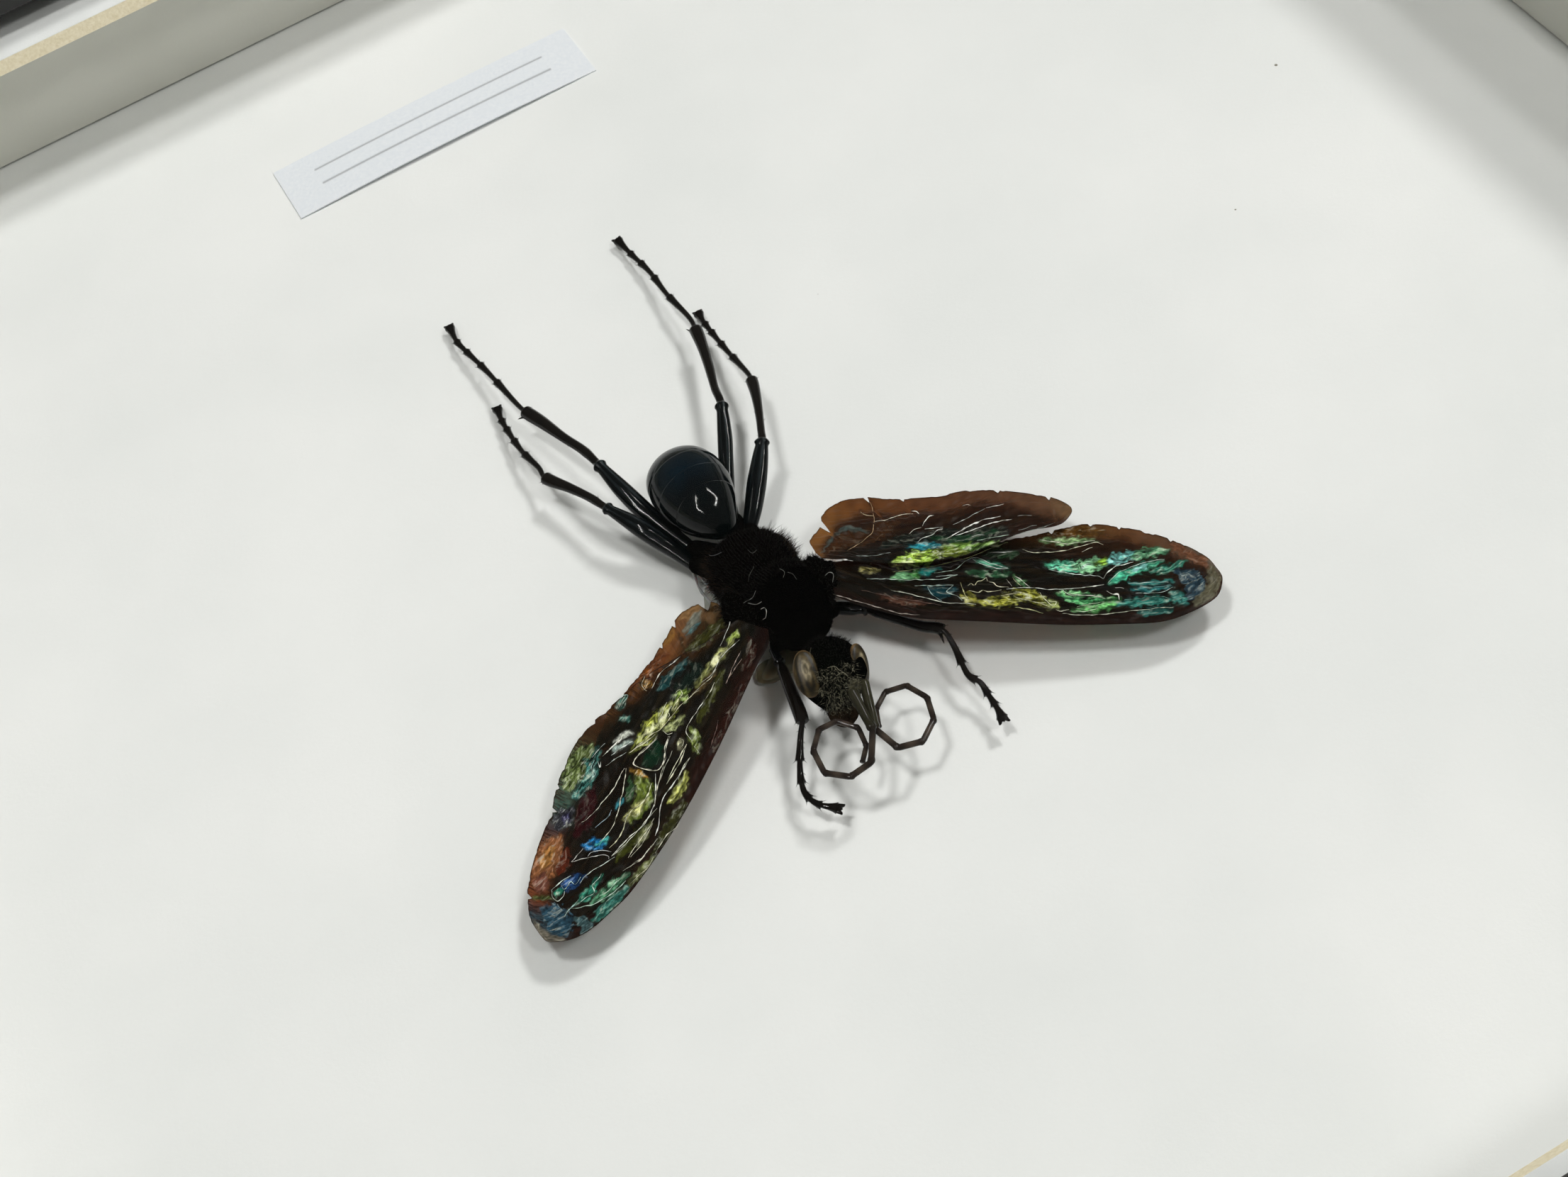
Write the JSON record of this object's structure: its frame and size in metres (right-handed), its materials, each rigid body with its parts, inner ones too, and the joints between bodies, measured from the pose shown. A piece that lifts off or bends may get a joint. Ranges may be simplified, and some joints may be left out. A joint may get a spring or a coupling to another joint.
{
  "type": "framed tarantula hawk wasp",
  "caption": "Square black wooden shadow box with glass, a white window mat and a spread, dried tarantula hawk wasp glued to the white backing above a paper label.",
  "frame": {"origin": "middle of the frame's back, in the plane of the four rails' back faces", "axes": "+Z out through the glass, +Y towards the top rail, where the wasp's head points, +X towards the right rail as seen from the front"},
  "size_m": [0.2286, 0.2286, 0.035],
  "materials": {
    "rail_wood": "black satin lacquer",
    "clear_glass": "clear polished",
    "mat_board": "matte white with a cream core",
    "foam_board": "matte white",
    "hardboard": "brown pressed fibre, smooth",
    "zinc_steel": "zinc plated",
    "label_paper": "matte",
    "black_chitin": "glossy blue black shell, velvety on the thorax",
    "wing_membrane": "amber brown film with a green and gold sheen",
    "hot_melt_glue": "translucent"
  },
  "bodies": {
    "root": {"rail_bottom": "rail_wood", "rail_top": "rail_wood", "rail_left": "rail_wood", "rail_right": "rail_wood", "glass_pane": "clear_glass", "window_mat": "mat_board", "spacer_bottom": "foam_board", "spacer_top": "foam_board", "spacer_left": "foam_board", "spacer_right": "foam_board", "backing_board": "foam_board", "back_panel": "hardboard", "panel_point_1": "zinc_steel", "panel_point_2": "zinc_steel", "panel_point_3": "zinc_steel", "panel_point_4": "zinc_steel", "panel_point_5": "zinc_steel", "panel_point_6": "zinc_steel", "panel_point_7": "zinc_steel", "panel_point_8": "zinc_steel", "sawtooth_hanger": "zinc_steel", "label": "label_paper", "head": "black_chitin", "thorax": "black_chitin", "abdomen": "black_chitin", "forewing_left": "wing_membrane", "forewing_right": "wing_membrane", "hindwing_left": "wing_membrane", "hindwing_right": "wing_membrane", "leg_front_left": "black_chitin", "leg_front_right": "black_chitin", "leg_middle_left": "black_chitin", "leg_middle_right": "black_chitin", "leg_hind_left": "black_chitin", "leg_hind_right": "black_chitin", "antenna_left": "black_chitin", "antenna_right": "black_chitin", "glue_side": "hot_melt_glue", "glue_front": "hot_melt_glue"}
  },
  "joints": []
}
